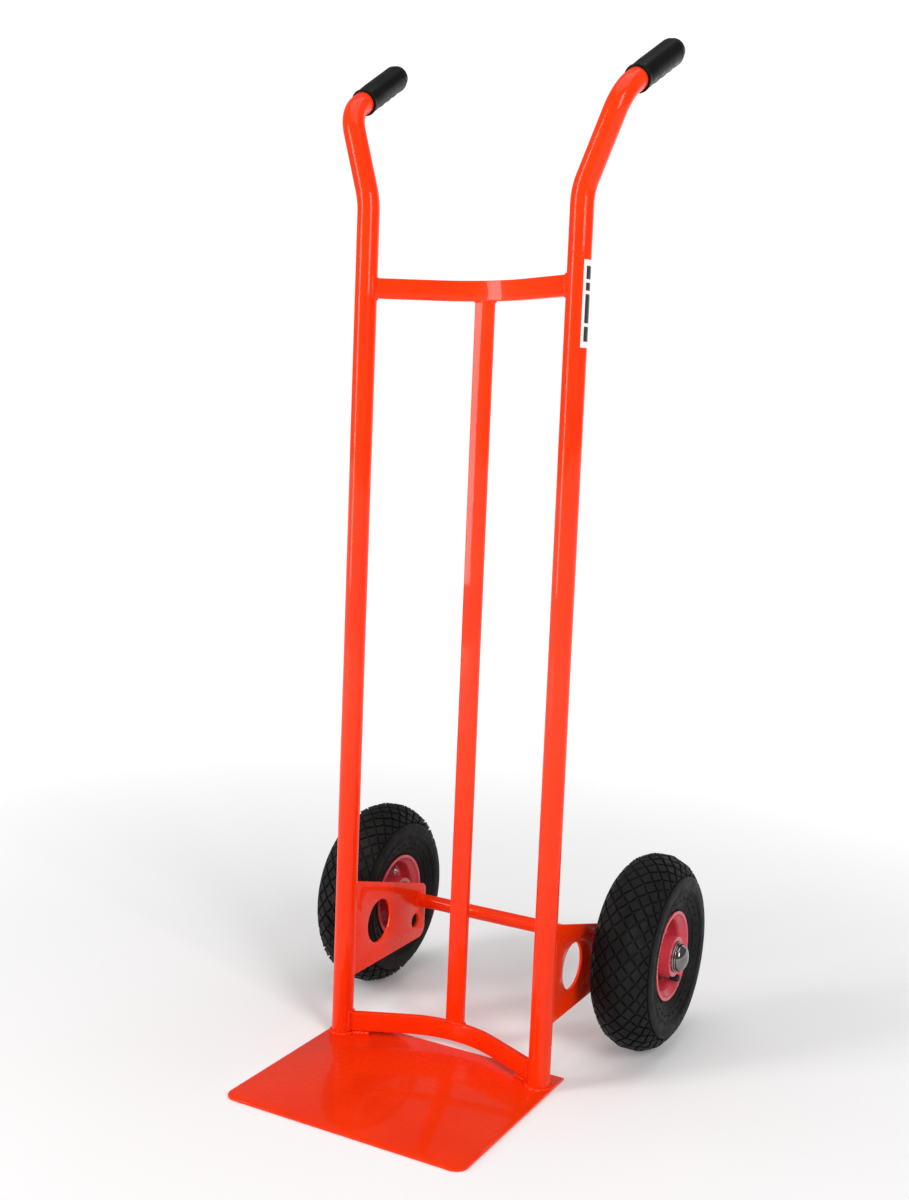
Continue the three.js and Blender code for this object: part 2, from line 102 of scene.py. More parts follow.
lens = bpy.data.cameras.new("view")
lens.sensor_width = 36
lens.lens = LENS
camera = bpy.data.objects.new("view", lens)
bpy.context.scene.collection.objects.link(camera)
turned = Matrix((right, up, backward)).transposed().to_4x4()
camera.matrix_world = Matrix.Translation(CAMERA_PLACE) @ turned
bpy.context.scene.camera = camera
print("camera stands", round(camera.matrix_world.translation.length, 3), "m from the origin")

# %% [markdown]
# ## Working by hand in code
#
# Every piece below starts as a primitive that is pushed and pulled in edit mode. Operators act
# on whatever is selected, so the first helper clears the selection. The others open a piece for
# editing, pick vertices, edges or faces by a test on their place, and put a modifier on and
# apply it at once.

# %% Helpers for editing
def deselect():
    if bpy.context.mode != "OBJECT":
        bpy.ops.object.mode_set(mode="OBJECT")
    bpy.ops.object.select_all(action="DESELECT")


def make_active(piece):
    deselect()
    piece.select_set(True)
    bpy.context.view_layer.objects.active = piece


def open_edit(piece, kind="VERT"):
    make_active(piece)
    bpy.ops.object.mode_set(mode="EDIT")
    bpy.ops.mesh.select_mode(type=kind)
    bpy.ops.mesh.select_all(action="SELECT")


def close_edit():
    bpy.ops.object.mode_set(mode="OBJECT")


def pick(piece, test, kind="VERT"):
    """Selects the vertices, edges or faces for which test(element) holds."""
    bpy.ops.mesh.select_mode(type=kind)
    bpy.ops.mesh.select_all(action="DESELECT")
    work = bmesh.from_edit_mesh(piece.data)
    found = {"VERT": work.verts, "EDGE": work.edges, "FACE": work.faces}[kind]
    chosen = [element for element in found if test(element)]
    for element in chosen:
        element.select_set(True)
    bmesh.update_edit_mesh(piece.data)
    return len(chosen)


def settle(piece):
    """Puts the piece's place into its mesh, so that its object sits at the origin, unturned."""
    make_active(piece)
    bpy.ops.object.transform_apply(location=True, rotation=True, scale=True)


def enclosed(piece):
    """The volume inside the faces of a closed piece, which is negative when they point inwards."""
    mesh = piece.data
    mesh.calc_loop_triangles()
    corners = [[mesh.vertices[index].co for index in face.vertices] for face in mesh.loop_triangles]
    return sum(a.dot(b.cross(c)) for a, b, c in corners) / 6


def tidy_mesh(piece, distance=1e-6):
    """Merges doubles and turns every face outwards.

    The operator judges by the outermost face, which can mislead it on a thin cup, so the volume
    of a closed piece, one with two faces on every edge, has the last word.
    """
    open_edit(piece)
    bpy.ops.mesh.remove_doubles(threshold=distance)
    bpy.ops.mesh.normals_make_consistent(inside=False)
    close_edit()
    walls = sum(1 for edge in piece.data.edges if not edge.is_loose)
    is_closed = len(piece.data.loops) == 2 * walls
    if is_closed and enclosed(piece) < 0:
        open_edit(piece)
        bpy.ops.mesh.flip_normals()
        close_edit()


def apply_modifier(piece, kind, **settings):
    make_active(piece)
    modifier = piece.modifiers.new(kind.lower(), kind)
    for name, value in settings.items():
        setattr(modifier, name, value)
    bpy.ops.object.modifier_apply(modifier=modifier.name)


def soften(piece, width, segments=3, angle=30):
    """Rounds every edge that is sharper than angle."""
    apply_modifier(piece, "BEVEL", width=width, segments=segments, limit_method="ANGLE",
                   angle_limit=radians(angle), harden_normals=False)


def cut_away(piece, tool):
    """Takes the tool's shape out of the piece and throws the tool away."""
    apply_modifier(piece, "BOOLEAN", operation="DIFFERENCE", object=tool, solver="EXACT")
    bpy.data.objects.remove(tool)


def copied(piece, name, matrix):
    """A copy with its own mesh, moved by matrix. A mirrored copy has its faces turned back outwards."""
    twin = piece.copy()
    twin.data = piece.data.copy()
    twin.name = name
    bpy.context.scene.collection.objects.link(twin)
    twin.matrix_world = matrix
    settle(twin)
    if matrix.determinant() < 0:
        tidy_mesh(twin)
    return twin


def joined(name, pieces):
    deselect()
    for piece in pieces:
        piece.select_set(True)
    bpy.context.view_layer.objects.active = pieces[0]
    bpy.ops.object.join()
    pieces[0].name = name
    return pieces[0]


MIRROR = Matrix.Diagonal((-1, 1, 1, 1))
TO_AXLE = Matrix.Translation((0, WHEEL.y, 0))
HALF_TURN = TO_AXLE @ Matrix.Rotation(pi, 4, "Z") @ TO_AXLE.inverted()

# %% [markdown]
# ## Two ways of drawing that most pieces share
#
# A wheel, a cap or a grip is the same all round, so its outline is drawn once, point by point
# from a single vertex, and spun about the axle line. A bent tube is a ring that is pulled along
# a straight stretch and spun round the centre of each bend, just as a tube bender turns it.
# Spin turns against the right-hand rule, so the angles are given with a minus sign.

# %% Draw by spinning an outline
def spun(name, outline, steps=64, centre=Vector((0, 0, 0)), closed=True):
    """Spins an outline of (radius, distance along X) in millimetres about X through centre."""
    points = [centre + Vector((along * MM, 0, radius * MM)) for radius, along in outline]
    deselect()
    bpy.ops.mesh.primitive_plane_add(size=MM, location=points[0])
    piece = bpy.context.object
    piece.name = name
    open_edit(piece)
    bpy.ops.mesh.merge(type="CENTER")
    for here, there in zip(points, points[1:]):
        bpy.ops.mesh.extrude_vertices_move(TRANSFORM_OT_translate={"value": there - here})
    if closed:
        first, last = points[0] - points[0], points[-1] - points[0]
        pick(piece, lambda v: (v.co - first).length < 1e-7 or (v.co - last).length < 1e-7)
        bpy.ops.mesh.edge_face_add()
    bpy.ops.mesh.select_all(action="SELECT")
    bpy.ops.mesh.spin(steps=steps, angle=2 * pi, center=centre, axis=(1, 0, 0))
    close_edit()
    settle(piece)
    tidy_mesh(piece)
    return piece


# %% Draw by pulling a ring along a bent path
def bent(name, corners, bends, radius, sides=48, step=radians(4)):
    """A tube's skin along straight stretches with a round bend of its own radius at each corner."""
    headings = [(there - here).normalized() for here, there in zip(corners, corners[1:])]
    deselect()
    turn = headings[0].to_track_quat("Z", "Y").to_euler()
    bpy.ops.mesh.primitive_circle_add(vertices=sides, radius=radius, location=corners[0], rotation=turn)
    piece = bpy.context.object
    piece.name = name
    settle(piece)
    open_edit(piece)
    here = corners[0]
    for corner, before, after, bend in zip(corners[1:], headings, headings[1:], bends):
        angle = before.angle(after)
        start = corner - before * bend * tan(angle / 2)
        axis = before.cross(after).normalized()
        centre = start + axis.cross(before) * bend
        bpy.ops.mesh.extrude_region_move(TRANSFORM_OT_translate={"value": start - here})
        bpy.ops.mesh.spin(steps=max(3, round(angle / step)), angle=-angle, center=centre, axis=axis)
        here = corner + after * bend * tan(angle / 2)
    bpy.ops.mesh.extrude_region_move(TRANSFORM_OT_translate={"value": corners[-1] - here})
    close_edit()
    tidy_mesh(piece)
    return piece


# %% Draw a straight round bar
def round_bar(name, radius, start, end, sides=48):
    """A cylinder from start to end, used as a tool or shaped further."""
    run = end - start
    deselect()
    bpy.ops.mesh.primitive_cylinder_add(vertices=sides, radius=radius, depth=run.length,
                                        location=(start + end) / 2,
                                        rotation=run.to_track_quat("Z", "Y").to_euler())
    piece = bpy.context.object
    piece.name = name
    settle(piece)
    return piece


# %% [markdown]
# ## Finishes
#
# Every finish is made of nodes that read the Object coordinates, which are metres here, so a
# noise of scale 700 has grains of about one and a half millimetres. A small recipe starts each
# material: it makes the shader and gives back the node tree to add to. Helpers add a noise, a
# colour ramp and a bump, because nearly every finish has all three.

# %% Helpers for finishes
def new_finish(name, **sockets):
    material = bpy.data.materials.new(name)
    material.use_nodes = True
    tree = material.node_tree
    shader = next(node for node in tree.nodes if node.type == "BSDF_PRINCIPLED")
    for socket, value in sockets.items():
        shader.inputs[socket.replace("_", " ")].default_value = value
    place = tree.nodes.new("ShaderNodeTexCoord")
    return material, tree, shader, place.outputs["Object"]


def noise(tree, place, scale, detail=3.0, roughness=0.5, stretch=None):
    if stretch:
        mapping = tree.nodes.new("ShaderNodeMapping")
        mapping.inputs["Scale"].default_value = stretch
        tree.links.new(place, mapping.inputs["Vector"])
        place = mapping.outputs["Vector"]
    node = tree.nodes.new("ShaderNodeTexNoise")
    node.inputs["Scale"].default_value = scale
    node.inputs["Detail"].default_value = detail
    node.inputs["Roughness"].default_value = roughness
    tree.links.new(place, node.inputs["Vector"])
    return node.outputs["Fac"]


def ramp(tree, value, stops):
    """A colour ramp with stops of (position, colour), where a single number means a grey."""
    node = tree.nodes.new("ShaderNodeValToRGB")
    marks = node.color_ramp.elements
    while len(marks) < len(stops):
        marks.new(0.5)
    for mark, (position, colour) in zip(marks, stops):
        mark.position = position
        shade = (colour, colour, colour) if isinstance(colour, (int, float)) else colour
        mark.color = (*shade, 1)
    tree.links.new(value, node.inputs["Fac"])
    return node.outputs["Color"]


def vary(tree, shader, socket, pattern, *stops):
    """Lets a pattern set one of the shader's sockets through a ramp with these stops."""
    tree.links.new(ramp(tree, pattern, stops), shader.inputs[socket])


def math_node(tree, operation, first, second=0.5):
    node = tree.nodes.new("ShaderNodeMath")
    node.operation = operation
    for socket, value in zip(node.inputs, (first, second)):
        if isinstance(value, (int, float)):
            socket.default_value = value
        else:
            tree.links.new(value, socket)
    return node.outputs["Value"]


def bump(tree, shader, height, depth, after=None, sockets=("Normal",)):
    """Dents the surface by height times depth, in metres."""
    node = tree.nodes.new("ShaderNodeBump")
    node.inputs["Strength"].default_value = 1.0
    node.inputs["Distance"].default_value = depth
    tree.links.new(height, node.inputs["Height"])
    if after is not None:
        tree.links.new(after, node.inputs["Normal"])
    for socket in sockets:
        tree.links.new(node.outputs["Normal"], shader.inputs[socket])
    return node.outputs["Normal"]


# %% [markdown]
# ### Paint
#
# The frame's vermilion is a baked powder coat: glossy, with the faint orange peel that makes a
# long reflection shiver, and a film that is a touch thicker and darker in places. A clear coat
# over a saturated base gives both the strong colour and the sharp highlights. The colour moves
# a little over hand-sized patches, and the gloss over finger-sized ones.

# %% Mix the paint
paint, tree, shader, place = new_finish("vermilion_powder_coat", Specular_IOR_Level=0.05,
                                        Coat_Weight=0.34, Coat_Roughness=0.03)
patches = noise(tree, place, 9, 4)
vary(tree, shader, "Base Color", patches, (0.3, (0.88, 0.030, 0.0014)), (0.7, (0.96, 0.040, 0.0024)))
vary(tree, shader, "Roughness", noise(tree, place, 60, 3), (0.3, 0.24), (0.75, 0.36))
ripple = noise(tree, place, 230, 1.0)
bump(tree, shader, ripple, 0.000006, sockets=("Normal", "Coat Normal"))
print("finish:", paint.name)

# %% [markdown]
# ### Rim paint
#
# The wheels come from another maker, in a cooler crimson. It is plain enamel on pressed steel, less glossy
# than the frame, a little darker in random patches and with a fine grain in its surface.

# %% Mix the rim paint
rim_paint, tree, shader, place = new_finish("crimson_enamel", Coat_Weight=0.35, Coat_Roughness=0.12)
patches = noise(tree, place, 38, 5, 0.6)
vary(tree, shader, "Base Color", patches,
     (0.32, (0.56, 0.042, 0.064)), (0.55, (0.68, 0.052, 0.078)), (0.8, (0.74, 0.060, 0.088)))
vary(tree, shader, "Roughness", noise(tree, place, 220, 4), (0.35, 0.3), (0.7, 0.48))
bump(tree, shader, noise(tree, place, 600, 2), 0.00003)
print("finish:", rim_paint.name)

# %% [markdown]
# ### Tyre rubber
#
# Moulded rubber is never quite black. It is charcoal with a warm bloom of dust that settles in
# patches, matt on the tread and slightly smoother on the sidewall, with a fine grain from the
# mould. Grain this small is a bump, while the blocks and ridges are real shapes.

# %% Mix the tyre rubber
rubber, tree, shader, place = new_finish("charcoal_tyre_rubber", Specular_IOR_Level=0.05)
bloom = noise(tree, place, 24, 6, 0.65)
vary(tree, shader, "Base Color", bloom,
     (0.3, (0.009, 0.009, 0.0095)), (0.55, (0.015, 0.015, 0.015)), (0.8, (0.025, 0.0235, 0.0205)))
vary(tree, shader, "Roughness", noise(tree, place, 90, 5), (0.3, 0.36), (0.7, 0.6))
grain = bump(tree, shader, noise(tree, place, 1500, 4), 0.00006)
bump(tree, shader, noise(tree, place, 160, 3), 0.00022, after=grain)
print("finish:", rubber.name)

# %% [markdown]
# ### Grip vinyl, soft black rubber and hard black plastic
#
# The grips are dipped vinyl: a deep black with a satin sheen and a skin like fine leather. The
# valve caps are harder and shinier, and the inner tubes, which nobody sees, get a dusted
# butyl rubber so that a section still looks right.

# %% Mix the black finishes
vinyl, tree, shader, place = new_finish("satin_black_vinyl", Specular_IOR_Level=0.08)
vary(tree, shader, "Base Color", noise(tree, place, 45, 4),
     (0.3, (0.0022, 0.0022, 0.0024)), (0.75, (0.0048, 0.0048, 0.0052)))
vary(tree, shader, "Roughness", noise(tree, place, 140, 3), (0.3, 0.27), (0.7, 0.42))
skin = tree.nodes.new("ShaderNodeTexVoronoi")
skin.inputs["Scale"].default_value = 1100
tree.links.new(place, skin.inputs["Vector"])
bump(tree, shader, skin.outputs["Distance"], 0.00004)

cap_plastic, tree, shader, place = new_finish("black_cap_plastic", Specular_IOR_Level=0.5)
vary(tree, shader, "Base Color", noise(tree, place, 300, 3),
     (0.3, (0.010, 0.010, 0.011)), (0.7, (0.022, 0.021, 0.021)))
vary(tree, shader, "Roughness", noise(tree, place, 500, 2), (0.3, 0.3), (0.7, 0.45))

butyl, tree, shader, place = new_finish("dusted_butyl")
vary(tree, shader, "Base Color", noise(tree, place, 60, 6, 0.7),
     (0.35, (0.02, 0.02, 0.02)), (0.7, (0.07, 0.066, 0.06)))
vary(tree, shader, "Roughness", noise(tree, place, 200, 3), (0.3, 0.6), (0.7, 0.85))
print("finishes:", vinyl.name, cap_plastic.name, butyl.name)

# %% [markdown]
# ### Bare metals
#
# The axle caps are chrome: a clean mirror with faint wiping marks. Washers, bolts and spacers
# are zinc plated, greyer, with a cloudy spangle. The bearings are ground steel, whose fine
# turning marks run round the axle, so their noise is squeezed along one direction only.

# %% Mix the metals
chrome, tree, shader, place = new_finish("polished_chrome", Metallic=1.0)
vary(tree, shader, "Base Color", noise(tree, place, 70, 4),
     (0.3, (0.17, 0.16, 0.16)), (0.7, (0.25, 0.24, 0.24)))
vary(tree, shader, "Roughness", noise(tree, place, 160, 5, 0.65), (0.35, 0.07), (0.75, 0.2))

zinc, tree, shader, place = new_finish("zinc_plate", Metallic=1.0)
vary(tree, shader, "Base Color", noise(tree, place, 190, 5, 0.6),
     (0.3, (0.52, 0.53, 0.55)), (0.7, (0.74, 0.75, 0.76)))
vary(tree, shader, "Roughness", noise(tree, place, 320, 4), (0.3, 0.22), (0.7, 0.42))
bump(tree, shader, noise(tree, place, 900, 2), 0.00002)

ground_steel, tree, shader, place = new_finish("ground_steel", Metallic=1.0)
lines = noise(tree, place, 400, 3, stretch=(12, 1, 1))
vary(tree, shader, "Base Color", lines, (0.3, (0.40, 0.41, 0.42)), (0.7, (0.62, 0.63, 0.64)))
vary(tree, shader, "Roughness", lines, (0.3, 0.2), (0.7, 0.36))
print("finishes:", chrome.name, zinc.name, ground_steel.name)

# %% [markdown]
# ### Handing a piece over
#
# A finished piece gets its material, its smooth shading, the body that it moves with and the plain solids
# that it stands for. That is the same for all of them, so one helper does it and counts the triangles.

# %% A helper that hands a piece over
def hand_over(piece, material, body, slot, *nodes, angle=35):
    make_active(piece)
    piece.data.materials.clear()
    piece.data.materials.append(material)
    bpy.ops.object.shade_smooth_by_angle(angle=radians(angle))
    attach(piece, body)
    if nodes:
        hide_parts(*nodes)
    triangles = sum(len(face.vertices) - 2 for face in piece.data.polygons)
    print(f"{piece.name}: {triangles} triangles, rides on {body}")
    return piece


# %% [markdown]
# ## The side tubes
#
# Each side of the frame is one steel tube, 28 mm across with a 2 mm wall. It stands straight up
# from the toe plate, flares outwards and a little back, and then turns sharply back into the
# handle. It could be a curve with a bevel, but pulling a ring gives clean even faces and the
# true bend radii. The wall comes from Solidify, which needs the skin to face outwards first.

# %% Bend the side tubes
kink = Vector((TUBE_X, 0, 1084 * MM))
handle_corner = kink + Vector((38.4, 11.5, 111)) * MM
handle_tilt = radians(30)
handle_toe_out = radians(4.65)
handle_way = Vector((sin(handle_toe_out), cos(handle_toe_out), 0)) * cos(handle_tilt)
handle_way.z = sin(handle_tilt)
tube_end = handle_corner + handle_way * 146.7 * MM
side_path = [Vector((TUBE_X, 0, TUBE_FOOT)), kink, handle_corner, tube_end]
tube_left = bent("tube_left", side_path, [80 * MM, 50 * MM], TUBE_RADIUS)
apply_modifier(tube_left, "SOLIDIFY", thickness=TUBE_WALL, offset=-1)
tube_right = copied(tube_left, "tube_right", MIRROR)
hand_over(tube_left, paint, "frame", "paint", "left_side_tube")
hand_over(tube_right, paint, "frame", "paint", "right_side_tube")

# %% [markdown]
# ## The cross bars
#
# Two flat bars join the tubes, one just above the toe plate and one below the kink. Both bow
# backwards, so that a round load settles between the tubes: straight legs run into a round
# middle. A small upright rectangle is pulled along the first leg, spun round the bow's centre
# and pulled along the second leg. A cylinder the size of each tube then copes the ends.

# %% Draw one cross bar and copy it
BAR_THICKNESS = 8 * MM
BAR_HEIGHT = 25 * MM
BOW = 47 * MM
BOW_RADIUS = 145 * MM
reach = TUBE_X - TUBE_RADIUS
rise = BOW_RADIUS - BOW
leg_angle = atan2(reach, rise) - acos(BOW_RADIUS / hypot(rise, reach))
leg_length = (TUBE_X - TUBE_RADIUS / 3 - BOW_RADIUS * sin(leg_angle)) / cos(leg_angle)
bow_centre = Vector((0, BOW - BOW_RADIUS, 0))
lower_low = node_box("lower_cross_bar")[0]
upper_low = node_box("upper_cross_bar")[0]


def leg_way(side):
    """The way a leg runs from the bow out to its tube."""
    return Vector((side * cos(leg_angle), -sin(leg_angle), 0))


def cross_bar(name, bottom):
    middle = Vector((0, 0, bottom + BAR_HEIGHT / 2))
    bow_start = bow_centre + Vector((-sin(leg_angle), cos(leg_angle), 0)) * BOW_RADIUS + middle
    start = bow_start + leg_way(-1) * leg_length
    deselect()
    facing = leg_way(-1).to_track_quat("Z", "Y").to_euler()
    bpy.ops.mesh.primitive_plane_add(size=1, location=start, rotation=facing)
    bar = bpy.context.object
    bar.name = name
    bar.scale = (BAR_THICKNESS, BAR_HEIGHT, 1)
    settle(bar)
    open_edit(bar, "FACE")
    bpy.ops.mesh.extrude_region_move(TRANSFORM_OT_translate={"value": bow_start - start})
    bpy.ops.mesh.spin(steps=18, angle=2 * leg_angle, center=bow_centre + middle, axis=(0, 0, 1))
    bpy.ops.mesh.extrude_region_move(TRANSFORM_OT_translate={"value": leg_way(1) * leg_length})
    close_edit()
    tidy_mesh(bar)
    soften(bar, 1.1 * MM)
    for side in (-1, 1):
        foot = Vector((side * TUBE_X, 0, bottom - BAR_HEIGHT))
        tool = round_bar("cope", TUBE_RADIUS + 0.1 * MM, foot, foot + Vector((0, 0, 3 * BAR_HEIGHT)), 64)
        cut_away(bar, tool)
    return bar


for name, low in (("lower_bar", lower_low), ("upper_bar", upper_low)):
    bar = cross_bar(name, low.z)
    print(name, "spans", [round(size, 4) for size in bar.dimensions])
    hand_over(bar, paint, "frame", "paint", name.replace("_", "_cross_"))

# %% [markdown]
# ## The centre upright
#
# A single flat bar stands between the two cross bars. It carries the load's back. Rolled flat
# bar has slightly rounded edges, so the box is sized to its solid and its edges are softened,
# with a few cuts along it so that its long faces stay even.

# %% Draw the centre upright
def sized_box(name, low, high):
    deselect()
    bpy.ops.mesh.primitive_cube_add(size=1, location=(low + high) / 2)
    piece = bpy.context.object
    piece.name = name
    piece.scale = high - low
    settle(piece)
    return piece


post = sized_box("centre_post", *node_box("centre_upright"))
open_edit(post, "EDGE")
pick(post, lambda e: abs(e.verts[0].co.z - e.verts[1].co.z) > 0.1, "EDGE")
bpy.ops.mesh.subdivide(number_cuts=5)
close_edit()
soften(post, 1.1 * MM)
hand_over(post, paint, "frame", "paint", "centre_upright")

# %% [markdown]
# ## The toe plate
#
# The toe plate is 3 mm sheet, square at the back where the tubes stand and rounded at its two
# front corners so that it slides under a load. A box takes the plate's size, its two front
# corner edges are rounded off in edit mode, and a fine softening takes the knife edge away.

# %% Cut the toe plate
toe = sized_box("toe_sheet", plate_low, plate_high)
open_edit(toe, "EDGE")
front_corners = pick(toe, lambda e: all(v.co.y < plate_low.y + MM for v in e.verts)
                     and abs(e.verts[0].co.z - e.verts[1].co.z) > MM, "EDGE")
bpy.ops.mesh.bevel(offset=16 * MM, segments=12, affect="EDGES")
close_edit()
soften(toe, 0.7 * MM, 2, 50)
print("rounded", front_corners, "corners")
hand_over(toe, paint, "frame", "paint", "toe_plate")

# %% [markdown]
# ## The wheel brackets
#
# A 4 mm plate stands behind each tube and holds the axle. Its top edge slopes down towards the
# back, its rear corners are round, and it has three holes: one for the axle, a spare one ahead
# of it for a smaller wheel, and a big one that only saves weight. The outline is a box with one
# edge lowered and two corners rounded, and round bars cut the holes.

# %% Cut the wheel brackets
bracket_low, bracket_high = node_box("left_wheel_bracket")
REAR_DROP = 54.9 * MM
bracket = sized_box("bracket_left", bracket_low, bracket_high)
open_edit(bracket)
pick(bracket, lambda v: v.co.y > bracket_high.y - MM and v.co.z > bracket_high.z - MM)
bpy.ops.transform.translate(value=(0, 0, -REAR_DROP))
for rounding, wanted in ((9.1 * MM, 1), (16 * MM, -1)):
    middle_height = (bracket_low.z + bracket_high.z - REAR_DROP) / 2
    pick(bracket, lambda e: all(v.co.y > bracket_high.y - MM for v in e.verts)
         and all((v.co.z - middle_height) * wanted > 0 for v in e.verts)
         and abs(e.verts[0].co.x - e.verts[1].co.x) > MM, "EDGE")
    bpy.ops.mesh.bevel(offset=rounding, segments=10, affect="EDGES")
close_edit()
for back, height, radius in ((193.4, 130, 9.6), (182.4, 102, 10), (83.5, 130.7, 30)):
    spot = Vector((TUBE_X, back * MM, height * MM))
    reach = Vector((10 * MM, 0, 0))
    cut_away(bracket, round_bar("drill", radius * MM, spot - reach, spot + reach, 72))
soften(bracket, 0.6 * MM, 2, 50)
bracket_right = copied(bracket, "bracket_right", MIRROR)
hand_over(bracket, paint, "frame", "paint", "left_wheel_bracket")
hand_over(bracket_right, paint, "frame", "paint", "right_wheel_bracket")

# %% [markdown]
# ## The axle
#
# One solid round bar runs through both brackets and both wheels. It is painted with the frame.
# Its ends are chamfered so that the wheels slide on, and a shallow groove near each end is
# where the cap's spring collar bites.

# %% Turn the axle
half_axle = axle_high.x / MM
axle_outline = [(0, -half_axle), (8.3, -half_axle), (9.5, -half_axle + 1.2), (9.5, -half_axle + 4),
                (8.9, -half_axle + 4.4),
                (8.9, -half_axle + 5.4), (9.5, -half_axle + 5.8)]
axle_outline += [(r, -a) for r, a in reversed(axle_outline)]
axle_bar = spun("axle_bar", axle_outline, 48, Vector((0, WHEEL.y, WHEEL.z)), closed=False)
hand_over(axle_bar, paint, "frame", "paint", "axle")

# %% [markdown]
# ## The welds
#
# The frame is held together by hand-laid weld beads under the paint. They catch the light as
# rows of small bright scallops, which tells the eye that this is welded steel. Each bead is a
# curve whose radius swells and shrinks along it, turned into a mesh. Half of it sinks into the
# two parts that it joins.

# %% A helper that lays a weld bead
def weld(name, points, radius, closed=False, ripple_length=3.4 * MM):
    """A bead along points, in metres, resampled every 0.85 mm."""
    step = 0.85 * MM
    stations, travelled = [], 0.0
    route = list(points) + ([points[0]] if closed else [])
    for here, there in zip(route, route[1:]):
        run = (there - here).length
        count = max(1, round(run / step))
        for i in range(count):
            stations.append((here.lerp(there, i / count), travelled + run * i / count))
        travelled += run
    if not closed:
        stations.append((route[-1], travelled))
    ripples = max(1, round(travelled / ripple_length))
    curve = bpy.data.curves.new(name, "CURVE")
    curve.dimensions = "3D"
    curve.bevel_depth = radius
    curve.bevel_resolution = 2
    curve.use_fill_caps = True
    spline = curve.splines.new("POLY")
    spline.points.add(len(stations) - 1)
    spline.use_cyclic_u = closed
    for point, (spot, along) in zip(spline.points, stations):
        point.co = (*spot, 1)
        phase = along / travelled * ripples
        wander = 0.08 * sin(5.1 * phase) + 0.05 * sin(2.3 * phase + 1)
        end_taper = 1 if closed else min(1, 0.45 + min(along, travelled - along) / (2.5 * MM))
        point.radius = (0.78 + 0.32 * abs(sin(pi * phase)) + wander) * end_taper
    bead = bpy.data.objects.new(name, curve)
    bpy.context.scene.collection.objects.link(bead)
    make_active(bead)
    bpy.ops.object.convert(target="MESH")
    bead = bpy.context.object
    tidy_mesh(bead)
    return bead


def circle_points(centre, radius, across, along, count=40, start=0.0, sweep=2 * pi):
    """Points round centre in the plane of two directions."""
    last = count if sweep >= 2 * pi else count - 1
    return [centre + (across * cos(start + sweep * i / last) + along * sin(start + sweep * i / last)) * radius
            for i in range(count)]


X_WAY, Y_WAY, Z_WAY = Vector((1, 0, 0)), Vector((0, 1, 0)), Vector((0, 0, 1))

# %% Weld the feet to the toe plate
foot_beads = []
for side in (-1, 1):
    foot = Vector((side * TUBE_X, 0, plate_high.z + 0.4 * MM))
    foot_beads.append(weld("bead", circle_points(foot, TUBE_RADIUS + 1.2 * MM, X_WAY, Y_WAY), 2.5 * MM, True))
    seam_start = Vector((side * (TUBE_X - TUBE_RADIUS - 1 * MM), -1 * MM, plate_high.z + 1.4 * MM))
    seam_end = seam_start - leg_way(side) * 24 * MM
    foot_beads.append(weld("bead", [seam_start, seam_end], 2.9 * MM, ripple_length=4.2 * MM))
foot_welds = joined("foot_welds", foot_beads)
hand_over(foot_welds, paint, "frame", "paint", angle=60)

# %% Weld the bars to the tubes and the post to the bars
bar_beads = []
for low in (lower_low, upper_low):
    for side in (-1, 1):
        spread = 22
        loop = []
        for height, turns in ((low.z, (spread, -spread)), (low.z + BAR_HEIGHT, (-spread, spread))):
            for turn in turns:
                way = Vector((-side * cos(radians(turn)), sin(radians(turn)), 0))
                loop.append(Vector((side * TUBE_X, 0, height)) + way * (TUBE_RADIUS + 0.3 * MM))
        bar_beads.append(weld("bead", loop, 1.9 * MM, True))
post_low, post_high = node_box("centre_upright")
for height, in_bar in ((post_low.z, -0.4 * MM), (post_high.z, 0.4 * MM)):
    corners = [(post_low.x, post_low.y), (post_high.x, post_low.y),
               (post_high.x, post_high.y), (post_low.x, post_high.y)]
    loop = [Vector((x, y * 0.98 + 0.02 * BOW, height + in_bar)) for x, y in corners]
    bar_beads.append(weld("bead", loop, 1.8 * MM, True))
bar_welds = joined("bar_welds", bar_beads)
hand_over(bar_welds, paint, "frame", "paint", angle=60)

# %% Weld the brackets to the tubes and the axle
bracket_beads = []
for side in (-1, 1):
    for face in (-1, 1):
        x = side * TUBE_X + face * 2.3 * MM
        seam = [Vector((x, TUBE_RADIUS - 0.1 * MM, z))
                for z in (bracket_low.z + 2 * MM, bracket_high.z - 3 * MM)]
        bracket_beads.append(weld("bead", seam, 1.9 * MM))
        middle = Vector((side * TUBE_X + face * 2.4 * MM, WHEEL.y, WHEEL.z))
        ring = circle_points(middle, 9.9 * MM, Y_WAY, Z_WAY)
        bracket_beads.append(weld("bead", ring, 1.5 * MM, True))
bracket_welds = joined("bracket_welds", bracket_beads)
hand_over(bracket_welds, paint, "frame", "paint", angle=60)

# %% [markdown]
# ## The grips
#
# Each handle ends in a soft sleeve with a rolled lip at its mouth, a round end and a row of
# shallow finger hollows underneath. The outline is spun on the axis first, with a ring of
# points every few millimetres. Then each point of the underside is pressed in by a wave along
# the grip that fades out round its sides, much as four fingers press clay.

